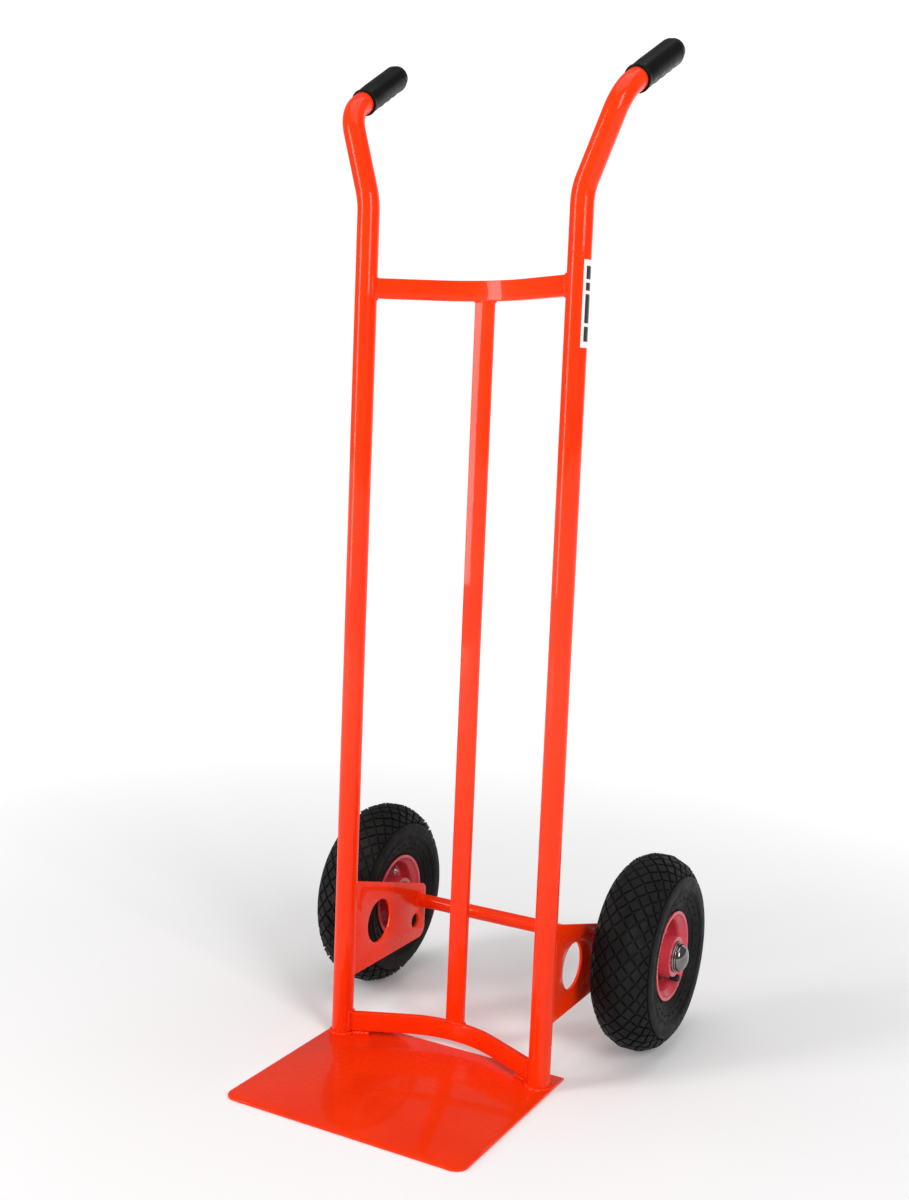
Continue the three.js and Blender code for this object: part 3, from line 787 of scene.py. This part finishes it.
# %% Shape one grip
GRIP_LENGTH = 113
grip_outline = [(14.2, 0), (15.9, 0), (16.8, 0.7), (17.0, 1.9), (16.8, 3.2), (16.1, 4.0)]
grip_outline += [(16.1 + 0.7 * min(1, (along - 6) / 20), along) for along in range(6, 98, 2)]
grip_outline += [(16.9 * cos(radians(t)), 98 + (GRIP_LENGTH - 98) * sin(radians(t)))
                 for t in range(0, 90, 10)]
grip_outline += [(0, GRIP_LENGTH), (0, 109.2), (14.2, 109.2)]
grip = spun("grip_left", grip_outline, 56)
FINGER_PITCH = 19.5
FIRST_FINGER = 14
HOLLOW = 2.3 * MM
for vertex in grip.data.vertices:
    along, under = vertex.co.x / MM, atan2(abs(vertex.co.y), -vertex.co.z)
    finger = (along - FIRST_FINGER) / FINGER_PITCH
    if 0 < finger < 4 and hypot(vertex.co.y, vertex.co.z) > 15 * MM:
        wave = (1 - cos(2 * pi * finger)) / 2
        fade = max(0, min(1, (radians(78) - under) / radians(50)))
        vertex.co.z += HOLLOW * wave * fade * fade * (3 - 2 * fade) * cos(under / 2)
print("grip after pressing:", [round(size, 4) for size in grip.dimensions])

# %% Put the grips on the handles
side_way = handle_way.cross(Z_WAY).normalized()
down_way = side_way.cross(handle_way)
sleeve_turn = Matrix((handle_way, -side_way, down_way)).transposed().to_4x4()
grip_mouth = handle_corner + handle_way * 38 * MM
grip.matrix_world = Matrix.Translation(grip_mouth) @ sleeve_turn
settle(grip)
tidy_mesh(grip)
grip_right = copied(grip, "grip_right", MIRROR)
hand_over(grip, vinyl, "frame", "grip", "left_grip", angle=50)
hand_over(grip_right, vinyl, "frame", "grip", "right_grip", angle=50)

# %% [markdown]
# ## The tyre's tread
#
# The tread is a net of diamond blocks that wraps over the shoulders. It begins as a flat grid
# that is wrapped round the casing's rounded section. Poking every square puts a point in its
# middle, and dissolving the grid's old lines leaves only diamonds. Each diamond is inset on its
# own, which leaves the grooves between, and is pushed outwards, chamfered and slightly crowned.
# The wrap is the one step with no operator of its own, so each vertex is moved by a formula.

# %% Lay out the diamonds
AROUND, ACROSS = 36, 5
SECTION_MIDDLE = 94.5 * MM
SECTION_RISE = 35.5 * MM
SECTION_HALF = 42 * MM
GROOVE_DEPTH = 3.2 * MM
TREAD_SPAN = radians(70)


def on_section(lean, sink):
    """A point of the rounded section: distance from the axle and from the wheel's middle plane."""
    radius, aside = SECTION_RISE * cos(lean), SECTION_HALF * sin(lean)
    steep = Vector((SECTION_HALF * cos(lean), SECTION_RISE * sin(lean))).normalized()
    return SECTION_MIDDLE + radius - sink * steep.x, aside - sink * steep.y


def tread_band():
    deselect()
    bpy.ops.mesh.primitive_grid_add(x_subdivisions=ACROSS, y_subdivisions=AROUND, size=2)
    band = bpy.context.object
    band.name = "tread_band"
    for vertex in band.data.vertices:
        radius, aside = on_section(vertex.co.x * TREAD_SPAN, GROOVE_DEPTH)
        turn = vertex.co.y * pi
        vertex.co = WHEEL + Vector((aside, radius * sin(turn), radius * cos(turn)))
    tidy_mesh(band)
    corners = len(band.data.vertices)
    open_edit(band, "FACE")
    bpy.ops.mesh.poke()
    pick(band, lambda e: all(v.index < corners for v in e.verts) and len(e.link_faces) == 2, "EDGE")
    bpy.ops.mesh.dissolve_edges(use_verts=False)
    bpy.ops.mesh.select_mode(type="FACE")
    bpy.ops.mesh.select_all(action="SELECT")
    bpy.ops.mesh.normals_make_consistent(inside=False)
    close_edit()
    return band


band = tread_band()
outward = sum((face.center - WHEEL).normalized().dot(face.normal) > 0 for face in band.data.polygons)
print("diamonds:", len(band.data.polygons), "facing outwards:", outward)

# %% Raise the blocks
open_edit(band, "FACE")
bpy.ops.mesh.inset(use_individual=True, thickness=1.15 * MM)
bpy.ops.mesh.extrude_faces_move(TRANSFORM_OT_shrink_fatten={"value": GROOVE_DEPTH - 0.7 * MM})
bpy.ops.mesh.inset(use_individual=True, thickness=0.6 * MM, depth=0.45 * MM)
bpy.ops.mesh.poke(offset=0.4 * MM)
close_edit()
print("tread faces:", len(band.data.polygons))

# %% [markdown]
# ## The tyre's casing
#
# The sidewall has a ridge below the tread, a smooth belly, a ring that protects the rim, and a
# bead that grips it. The outline runs from one shoulder down the side, round the inside and up
# to the other shoulder, and is left open at the top. After the spin, the two open edges are
# bridged to the band's edges, so tread and casing are one closed skin. Small raised ticks round
# each side are one little block that Spin repeats.

# %% Spin the casing and bridge it to the tread
shoulder_radius, shoulder_aside = on_section(TREAD_SPAN + radians(1.5), 0.3 * MM)
side_outline = [(shoulder_radius / MM, shoulder_aside / MM), (104.4, 40.4), (101, 41.3), (97, 41.8),
                (93, 41.7), (90.6, 41.4), (89.6, 42.0), (88.0, 42.0), (87.2, 41.0), (86.2, 40.9),
                (85.4, 41.7), (84.2, 41.5), (83.4, 39.9), (80, 38.9), (76.5, 37.6), (73.4, 36.2),
                (72.4, 36.7), (70.4, 36.1), (69.2, 34.3), (66, 33.2), (63, 31.9), (61.5, 31),
                (54, 27), (50.2, 24.4), (50.2, 17.2), (59, 20), (75, 31.5), (94.5, 35.0),
                (110, 28.5), (117.5, 18), (120.2, 6)]
casing_outline = side_outline + [(r, -a) for r, a in reversed(side_outline)]
casing = spun("casing", casing_outline, 108, WHEEL, closed=False)
tyre = joined("tyre_left", [casing, band])
open_edit(tyre)
for side in (-1, 1):
    edges = pick(tyre, lambda e: e.is_boundary and (e.verts[0].co.x - WHEEL.x) * side > 0, "EDGE")
    bpy.ops.mesh.bridge_edge_loops()
    print("bridged", edges, "edges")
bpy.ops.mesh.select_all(action="SELECT")
bpy.ops.mesh.normals_make_consistent(inside=False)
close_edit()

# %% Add the ticks on the sidewalls
TICKS = 30
tick_blocks = []
for side in (-1, 1):
    spot = WHEEL + Vector((side * 37.9, 0, 77.5)) * MM
    tick = sized_box("tick", spot - Vector((0.5, 0.45, 2.6)) * MM, spot + Vector((0.75, 0.45, 2.6)) * MM)
    open_edit(tick)
    bpy.ops.transform.rotate(value=side * radians(17), orient_axis="Y", center_override=spot)
    bpy.ops.mesh.spin(steps=TICKS, angle=2 * pi, center=WHEEL, axis=(1, 0, 0), dupli=True)
    close_edit()
    tidy_mesh(tick)
    tick_blocks.append(tick)
tyre = joined("tyre_left", [tyre, *tick_blocks])
tyre_right = copied(tyre, "tyre_right", HALF_TURN)
hand_over(tyre, rubber, "left_wheel", "tyre", "left_tyre", angle=30)
hand_over(tyre_right, rubber, "right_wheel", "tyre", "right_tyre", angle=30)

# %% [markdown]
# ## The rims
#
# A rim is two pressed dishes bolted back to back. Each has a rolled lip that holds the tyre's
# bead, a deep bowl, a flat web with the bolts and a hub barrel for the bearing. One outline
# gives them all. Softening after the spin rounds the folds as a press leaves them.

# %% Press the rim halves
rim_outline = [(20.3, 0.3), (20.3, 37.5), (26.3, 37.5), (26.3, 9), (29.5, 4.3), (43.0, 4.3),
               (46.3, 8), (46.3, 21), (47.6, 24.5),
               (53.2, 30), (54.6, 33), (59, 33), (59, 30.4), (49.5, 25), (49.5, 0.3)]
rim_outer = spun("rim_outer_left", rim_outline, 96, WHEEL)
soften(rim_outer, 0.9 * MM, 3, 20)
flip = Matrix.Translation(WHEEL) @ MIRROR @ Matrix.Translation(-WHEEL)
rim_inner = copied(rim_outer, "rim_inner_left", flip)
for piece, half in ((rim_outer, "outer"), (rim_inner, "inner")):
    twin = copied(piece, f"rim_{half}_right", HALF_TURN)
    hand_over(piece, rim_paint, "left_wheel", "rim", f"left_rim_{half}_half", angle=40)
    hand_over(twin, rim_paint, "right_wheel", "rim", f"right_rim_{half}_half", angle=40)

# %% [markdown]
# ## Bolts and nuts
#
# Four bolts clamp the halves of each rim. A bolt is a round bar with a six-sided head, and a nut is a
# six-sided ring. The head begins as a six-sided cylinder. Its top edge is chamfered by an inset, as on a real
# forging. One of each is made and copied to its places.

# %% Make one bolt and one nut
def hexagon(name, across_flats, start, end):
    head = round_bar(name, across_flats / 2 / cos(pi / 6), start, end, 6)
    open_edit(head, "FACE")
    outer = max(start.x, end.x)
    pick(head, lambda f: f.normal.x > 0.9 and f.calc_center_median().x > outer - 0.1 * MM, "FACE")
    bpy.ops.mesh.inset(thickness=0.7 * MM, depth=0.45 * MM)
    close_edit()
    soften(head, 0.25 * MM, 2, 25)
    return head


bolt_spot = WHEEL.copy()
head = hexagon("head", 10 * MM, bolt_spot + X_WAY * 4.7 * MM, bolt_spot + X_WAY * 8.1 * MM)
thread_outline = [(0, -12.2), (2.4, -12.2), (3.0, -11.6)]
for i in range(9):
    thread_outline += [(3.0, -11.3 + 0.7 * i), (2.65, -10.95 + 0.7 * i)]
thread_outline += [(3.0, -4.8), (3.0, 5.5), (0, 5.5)]
shank = spun("shank", thread_outline, 20, WHEEL, closed=False)
bolt = joined("bolt", [head, shank])
nut = round_bar("nut", 10 * MM / 2 / cos(pi / 6), WHEEL - X_WAY * 9.5 * MM, WHEEL - X_WAY * 4.7 * MM, 6)
cut_away(nut, round_bar("drill", 3.2 * MM, WHEEL - X_WAY * 0.02, WHEEL, 24))
soften(nut, 0.35 * MM, 2, 40)
print("bolt faces:", len(bolt.data.polygons), "nut faces:", len(nut.data.polygons))

# %% Copy them round both wheels
for i in range(4):
    angle = (i + 0.5) * pi / 2
    shift = Matrix.Translation((0, 37 * MM * cos(angle), 37 * MM * sin(angle)))
    own_turn = Matrix.Rotation(0.35 + 0.9 * i, 4, "X")
    spin_head = Matrix.Translation(WHEEL) @ own_turn @ Matrix.Translation(-WHEEL)
    for piece, kind in ((bolt, "bolt"), (nut, "nut")):
        for name, body_turn in (("left", Matrix.Identity(4)), ("right", HALF_TURN)):
            twin = copied(piece, f"rim_{kind}_{name}_{i + 1}", body_turn @ shift @ spin_head)
            hand_over(twin, zinc, f"{name}_wheel", "zinc", f"{name}_rim_{kind}_{i + 1}", angle=30)
for spare in (bolt, nut):
    bpy.data.objects.remove(spare)

# %% [markdown]
# ## The valves
#
# A short bright valve stem comes up through the rim's barrel and bends outwards so that a pump
# reaches it. Its ribbed black cap is what shows in the wheel's shadow. The stem is a bent rod,
# and the cap a spun shell with eight grip ribs pressed out of its side.

# %% Bend the stem and rib the cap
VALVE_ANGLE = radians(-63)
valve_out = Vector((0, cos(VALVE_ANGLE), sin(VALVE_ANGLE)))
stem_path = [WHEEL + valve_out * 58 * MM + X_WAY * 12.6 * MM,
             WHEEL + valve_out * 40.4 * MM + X_WAY * 12.6 * MM,
             WHEEL + valve_out * 40.4 * MM + X_WAY * 31.5 * MM]
stem = bent("valve_left", stem_path, [4 * MM], 3.4 * MM, 24, radians(9))
open_edit(stem, "EDGE")
pick(stem, lambda e: e.is_boundary, "EDGE")
bpy.ops.mesh.edge_face_add()
bpy.ops.mesh.normals_make_consistent(inside=False)
close_edit()
soften(stem, 0.3 * MM, 2, 50)

valve_spot = WHEEL + valve_out * 40.4 * MM
cap_outline = [(3.9, 25), (4.5, 25), (4.7, 25.4), (4.7, 26.6), (4.3, 27), (4.3, 36), (3.7, 37.4),
               (2.6, 38), (0, 38), (0, 31.8), (3.9, 31.8)]
valve_cap = spun("valve_cap_left", cap_outline, 32, valve_spot)
open_edit(valve_cap, "FACE")
pick(valve_cap, lambda f: f.calc_center_median().x > valve_spot.x + 28 * MM
     and abs(f.normal.x) < 0.1 and f.calc_area() > 5 * MM * MM
     and (f.calc_center_median() - valve_spot).dot(f.normal) > 3.5 * MM
     and f.index % 2 == 0, "FACE")
bpy.ops.mesh.inset(use_individual=True, thickness=0.12 * MM, depth=0.35 * MM)
close_edit()
for piece, material, slot, node in ((stem, zinc, "zinc", "valve_stem"),
                                    (valve_cap, cap_plastic, "rubber", "valve_cap")):
    twin = copied(piece, piece.name.replace("left", "right"), HALF_TURN)
    hand_over(piece, material, "left_wheel", slot, f"left_{node}")
    hand_over(twin, material, "right_wheel", slot, f"right_{node}")

# %% [markdown]
# ## Washers, spacers and axle caps
#
# A washer lies on each side of the hub, a short sleeve keeps the wheel off its bracket, and a
# chromed cap snaps over the axle's end. The cap has a flat flange and a dome, and it is a thin
# shell with a collar inside. All of them are spun, and none of them turns with the wheel.

# %% Spin the trim on the axle
def axle_trim(name, outline, material, slot, node, steps=64, edge=0.35):
    piece = spun(f"{name}_left", outline, steps, WHEEL)
    if edge:
        soften(piece, edge * MM, 2, 25)
    twin = copied(piece, f"{name}_right", HALF_TURN)
    hand_over(piece, material, "frame", slot, f"left_{node}")
    hand_over(twin, material, "frame", slot, f"right_{node}")


axle_trim("outer_disc", [(9.8, 37.8), (19.5, 37.8), (19.5, 39.8), (9.8, 39.8)], zinc, "zinc", "outer_washer")
axle_trim("inner_disc", [(9.8, -37.8), (19.5, -37.8), (19.5, -39.8), (9.8, -39.8)],
          zinc, "zinc", "inner_washer")
axle_trim("sleeve", [(9.8, -40.1), (13.0, -40.1), (13.0, -62.1), (9.8, -62.1)], zinc, "zinc", "axle_spacer")
dome = [(18.0 * cos(radians(t)), 42.9 + 10.2 * sin(radians(t))) for t in range(0, 90, 6)]
dome_inside = [(16.5 * cos(radians(t)), 42.9 + 8.7 * sin(radians(t))) for t in range(0, 84, 12)]
cap_shell = [(19.2, 40.1), (19.2, 41.4), (18.9, 41.9), (18.4, 42.0), (18.1, 42.3), *dome,
             (0, 53.1), (0, 51.6),
             *reversed(dome_inside), (16.7, 42.0), (17.8, 40.1)]
axle_trim("axle_dome", cap_shell, chrome, "chrome", "axle_cap", 72, 0)

# %% [markdown]
# ## The label
#
# A small white vinyl label is wrapped round the outer side of the left tube, below the kink. It
# is printed with plain dark bars. The vinyl is the part of a tube's skin that lies within the
# label's arc, given a wall as thin as film.

# %% Mix the label's print
label_low, label_high = node_box("label")
LABEL_FACING = radians(-3.25)
LABEL_ARC = radians(76)
vinyl_print, tree, shader, place = new_finish("printed_label", Roughness=0.35, Coat_Weight=0.3,
                                              Coat_Roughness=0.15)
turned = tree.nodes.new("ShaderNodeMapping")
turned.inputs["Location"].default_value = (-TUBE_X * cos(LABEL_FACING), TUBE_X * sin(LABEL_FACING),
                                           -label_low.z)
turned.inputs["Rotation"].default_value = (0, 0, -LABEL_FACING)
tree.links.new(place, turned.inputs["Vector"])
axes = tree.nodes.new("ShaderNodeSeparateXYZ")
tree.links.new(turned.outputs["Vector"], axes.inputs["Vector"])
aside = math_node(tree, "ABSOLUTE", math_node(tree, "ADD", axes.outputs["Y"], 1.2 * MM))
across_print = math_node(tree, "LESS_THAN", aside, 4.6 * MM)
bars = None
for start, end in ((7, 24), (28, 61), (65, 74), (78, 93)):
    middle, half = (start + end) / 2 * MM, (end - start) / 2 * MM
    away = math_node(tree, "ABSOLUTE", math_node(tree, "SUBTRACT", axes.outputs["Z"], middle))
    inside = math_node(tree, "LESS_THAN", away, half)
    bars = inside if bars is None else math_node(tree, "ADD", bars, inside)
printed = math_node(tree, "MULTIPLY", bars, across_print)
vinyl_tone = ramp(tree, noise(tree, place, 70, 4), [(0.3, (0.74, 0.74, 0.73)), (0.7, (0.82, 0.82, 0.81))])
mixed = tree.nodes.new("ShaderNodeMix")
mixed.data_type = "RGBA"
tree.links.new(printed, mixed.inputs["Factor"])
tree.links.new(vinyl_tone, mixed.inputs["A"])
mixed.inputs["B"].default_value = (0.02, 0.02, 0.022, 1)
tree.links.new(mixed.outputs["Result"], shader.inputs["Base Color"])

# %% Wrap the label round the tube
label_middle = Vector((TUBE_X, 0, (label_low.z + label_high.z) / 2))
rise_of_label = Vector((0, 0, (label_high.z - label_low.z) / 2))
wrap = round_bar("label_wrap", TUBE_RADIUS + 0.35 * MM, label_middle - rise_of_label,
                 label_middle + rise_of_label, 120)
open_edit(wrap, "FACE")


def off_label(face):
    spot = face.calc_center_median() - label_middle
    turn = atan2(spot.y, spot.x) - LABEL_FACING
    return abs(face.normal.z) > 0.9 or abs(turn) > LABEL_ARC / 2


dropped = pick(wrap, off_label, "FACE")
bpy.ops.mesh.delete(type="FACE")
close_edit()
apply_modifier(wrap, "SOLIDIFY", thickness=0.22 * MM, offset=-1)
print("dropped", dropped, "faces outside the label")
hand_over(wrap, vinyl_print, "frame", "label", "label")

# %% [markdown]
# ## What stays from the frame
#
# The bearings, their spacers and the inner tubes are already the right shape and hardly show,
# so their plain solids stay. They only need their own finishes.

# %% Finish the inner parts
for name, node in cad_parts.items():
    if node.hide_render:
        continue
    finish = butyl if name.endswith("inner_tube") else ground_steel
    node.data.materials.clear()
    node.data.materials.append(finish)
    print(name, "keeps its shape, in", finish.name)

# %% [markdown]
# ## The studio
#
# The truck stands in a plain white studio. The floor is wide and pale, and the room around it
# is an even soft white. Two tall softboxes do the modelling: their reflections are the two
# bright lines that run down each tube. A third, overhead, lights the toe plate and the tyres'
# crowns, and a weak one at the rear keeps the back from going dull. The room is brighter to
# the eye than to the truck, so the paint keeps its depth, and the floor's own faint glow grows
# with the distance until it meets the white of the room.

# %% Lay the floor and light the room
deselect()
bpy.ops.mesh.primitive_plane_add(size=60, location=(0, 0, -0.0005))
floor = bpy.context.object
floor.name = "studio_floor"
floor_white, tree, shader, place = new_finish("studio_white", Roughness=0.9)
vary(tree, shader, "Base Color", noise(tree, place, 2, 2), (0.3, 0.88), (0.7, 0.9))
distance = tree.nodes.new("ShaderNodeVectorMath")
distance.operation = "LENGTH"
tree.links.new(place, distance.inputs[0])
glow = tree.nodes.new("ShaderNodeMapRange")
glow.interpolation_type = "SMOOTHSTEP"
glow.inputs["From Min"].default_value = 0.2
glow.inputs["From Max"].default_value = 3.6
glow.inputs["To Min"].default_value = 0.08
glow.inputs["To Max"].default_value = 0.9
tree.links.new(distance.outputs["Value"], glow.inputs["Value"])
shader.inputs["Emission Color"].default_value = (1, 1, 1, 1)
tree.links.new(glow.outputs["Result"], shader.inputs["Emission Strength"])
floor.data.materials.append(floor_white)

room = bpy.data.worlds.new("white_room")
bpy.context.scene.world = room
room.use_nodes = True
tree = room.node_tree
background = next(node for node in tree.nodes if node.type == "BACKGROUND")
background.inputs["Color"].default_value = (1, 1, 1, 1)
seen = tree.nodes.new("ShaderNodeLightPath")
brightness = tree.nodes.new("ShaderNodeMapRange")
brightness.inputs["To Min"].default_value = 0.24
brightness.inputs["To Max"].default_value = 1.05
tree.links.new(seen.outputs["Is Camera Ray"], brightness.inputs["Value"])
tree.links.new(brightness.outputs["Result"], background.inputs["Strength"])
bpy.context.scene.view_settings.view_transform = "Standard"


def softbox(name, place, target, width, height, power):
    light = bpy.data.lights.new(name, "AREA")
    light.shape = "RECTANGLE"
    light.size, light.size_y, light.energy = width, height, power
    box = bpy.data.objects.new(name, light)
    bpy.context.scene.collection.objects.link(box)
    box.location = place
    box.rotation_euler = (Vector(target) - Vector(place)).to_track_quat("-Z", "Y").to_euler()


softbox("left_softbox", (-2.1, -2.5, 1.5), (0, 0, 0.8), 0.9, 2.6, 70)
softbox("right_softbox", (2.75, -1.7, 2.25), (0, 0, 0.9), 1.15, 1.8, 62)
softbox("top_softbox", (0.2, -0.3, 3.8), (0, 0, 0), 3.0, 3.0, 44)
softbox("rear_fill", (0.6, 3.6, 1.6), (0, 0, 0.7), 2.6, 2.0, 16)
print("studio ready")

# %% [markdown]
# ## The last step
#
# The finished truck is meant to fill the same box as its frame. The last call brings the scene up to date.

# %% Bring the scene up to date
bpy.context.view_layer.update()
